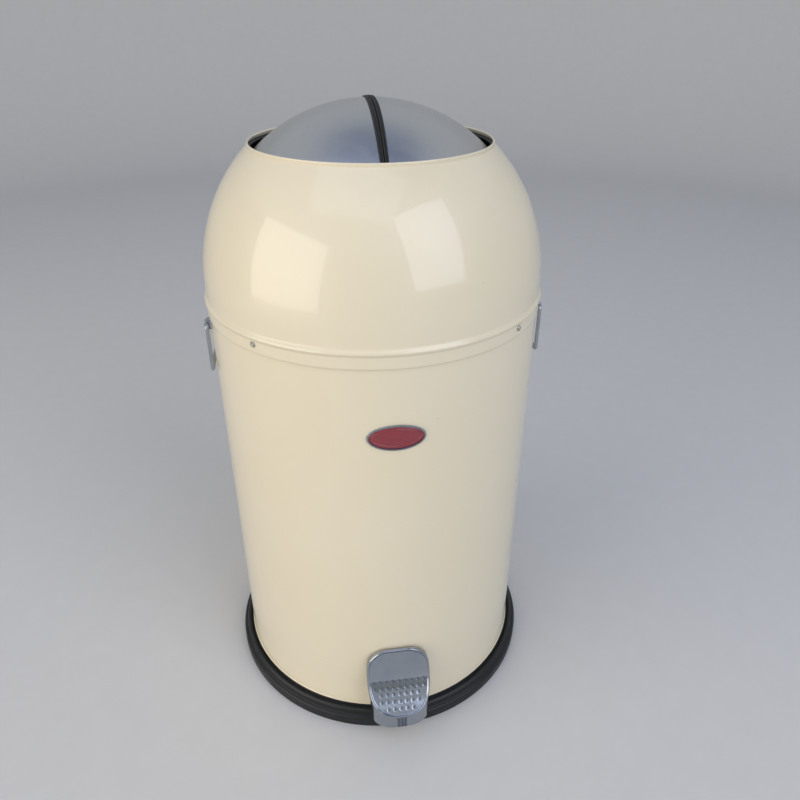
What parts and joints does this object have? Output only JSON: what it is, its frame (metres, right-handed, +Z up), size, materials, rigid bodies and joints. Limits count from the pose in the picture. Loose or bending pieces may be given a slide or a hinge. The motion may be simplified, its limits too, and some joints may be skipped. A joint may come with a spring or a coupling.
{
  "type": "pedal bin",
  "caption": "Tall round steel pedal bin with a domed head, two lid leaves that swing apart down the middle, a loose inner bucket and a black base ring.",
  "frame": {"origin": "on the bin's axis at floor level", "axes": "+Z up along the bin's axis, the pedal on the -Y side, +X to the right of someone facing the pedal"},
  "size_m": [0.38, 0.4095, 0.6805],
  "materials": {
    "cream_enamel": "glossy cream stoved enamel on sheet steel",
    "black_plastic": "moulded black plastic",
    "satin_steel": "satin stainless steel",
    "black_rubber": "black rubber edging",
    "chrome": "bright chrome plate",
    "red_enamel": "glossy dark red enamel",
    "galvanised": "galvanised sheet steel",
    "zinc_plate": "zinc-plated steel",
    "nylon": "natural nylon"
  },
  "bodies": {
    "bin_body": {"base_ring": "black_plastic", "base_plate": "zinc_plate", "body_shell": "cream_enamel", "false_floor": "galvanised", "floor_post_1": "zinc_plate", "floor_post_2": "zinc_plate", "floor_post_3": "zinc_plate", "floor_post_4": "zinc_plate", "pivot_bracket_left": "zinc_plate", "pivot_bracket_right": "zinc_plate", "pedal_pivot_pin": "zinc_plate", "rod_guide_lower": "zinc_plate", "rod_guide_upper": "zinc_plate", "pedal_spring": "zinc_plate", "badge_rim": "chrome", "badge_face": "red_enamel", "handle_bracket_left_front": "chrome", "handle_bracket_left_rear": "chrome", "handle_bracket_right_front": "chrome", "handle_bracket_right_rear": "chrome"},
    "pedal": {"pedal_arm": "zinc_plate", "pedal_pad": "chrome"},
    "lift_rod": {"push_rod": "zinc_plate", "rod_fork": "zinc_plate"},
    "left_roller": {"roller_left": "nylon"},
    "right_roller": {"roller_right": "nylon"},
    "inner_bucket": {"bucket": "galvanised", "bucket_ear_left": "galvanised", "bucket_ear_right": "galvanised"},
    "bail": {"bucket_bail": "zinc_plate", "bail_grip": "black_plastic"},
    "head": {"head_shell": "cream_enamel", "head_collar": "black_plastic", "rim_liner": "black_plastic", "band_screw_1": "zinc_plate", "band_screw_2": "zinc_plate", "band_screw_3": "zinc_plate", "band_screw_4": "zinc_plate", "leaf_bracket_front": "zinc_plate", "leaf_bracket_rear": "zinc_plate", "leaf_pin_front": "zinc_plate", "leaf_pin_rear": "zinc_plate", "leaf_closing_spring": "zinc_plate"},
    "leaf_left": {"left_leaf": "satin_steel", "left_leaf_seal": "black_rubber", "left_leaf_rear_ear": "zinc_plate", "left_leaf_front_ear": "zinc_plate"},
    "leaf_right": {"right_leaf": "satin_steel", "right_leaf_seal": "black_rubber", "right_leaf_rear_ear": "zinc_plate", "right_leaf_front_ear": "zinc_plate"},
    "side_handle_left": {"left_handle": "chrome"},
    "side_handle_right": {"right_handle": "chrome"}
  },
  "joints": [
    {"name": "pedal_press", "type": "hinge", "parent": "bin_body", "child": "pedal", "pos_m": [0, -0.03, 0.038], "axis": [1, 0, 0], "range_deg": [0, 7.87], "stiffness_Nm_per_rad": 10, "springref_deg": -6.88, "deforming": ["pedal_spring"]},
    {"name": "rod_lift", "type": "slide", "parent": "bin_body", "child": "lift_rod", "axis": [0, 0, 1], "range_m": [0, 0.0267]},
    {"name": "left_roller_spin", "type": "hinge", "parent": "lift_rod", "child": "left_roller", "pos_m": [-0.025, 0.15472, 0.48603], "axis": [0, 1, 0], "continuous": true},
    {"name": "right_roller_spin", "type": "hinge", "parent": "lift_rod", "child": "right_roller", "pos_m": [0.025, 0.15152, 0.48603], "axis": [0, 1, 0], "continuous": true},
    {"name": "left_leaf_open", "type": "hinge", "parent": "head", "child": "leaf_left", "pos_m": [0, 0, 0.5102], "axis": [0, 1, 0], "range_deg": [-56.2, 0], "stiffness_Nm_per_rad": 0.3, "springref_deg": 108.86},
    {"name": "right_leaf_open", "type": "hinge", "parent": "head", "child": "leaf_right", "pos_m": [0, 0, 0.5102], "axis": [0, 1, 0], "range_deg": [0, 56.2], "stiffness_Nm_per_rad": 0.3, "springref_deg": -108.86},
    {"name": "head_lift", "type": "slide", "parent": "bin_body", "child": "head", "axis": [0, 0, 1], "range_m": [0, 1]},
    {"name": "bucket_lift", "type": "slide", "parent": "bin_body", "child": "inner_bucket", "axis": [0, 0, 1], "range_m": [0, 0.5]},
    {"name": "bail_swing", "type": "hinge", "parent": "inner_bucket", "child": "bail", "pos_m": [0, 0, 0.42], "axis": [-1, 0, 0], "range_deg": [0, 100]},
    {"name": "left_handle_swing", "type": "hinge", "parent": "bin_body", "child": "side_handle_left", "pos_m": [-0.1772, 0, 0.47], "axis": [0, 1, 0], "range_deg": [0, 120]},
    {"name": "right_handle_swing", "type": "hinge", "parent": "bin_body", "child": "side_handle_right", "pos_m": [0.1772, 0, 0.47], "axis": [0, -1, 0], "range_deg": [0, 120]}
  ],
  "couplings": [
    {"joint": "rod_lift", "follows": "pedal_press", "m_per_rad": 0.19354},
    {"joint": "left_leaf_open", "follows": "pedal_press", "ratio": -7.1156},
    {"joint": "right_leaf_open", "follows": "pedal_press", "ratio": 7.1156},
    {"joint": "bucket_lift", "follows": "head_lift", "ratio": 0.5}
  ]
}
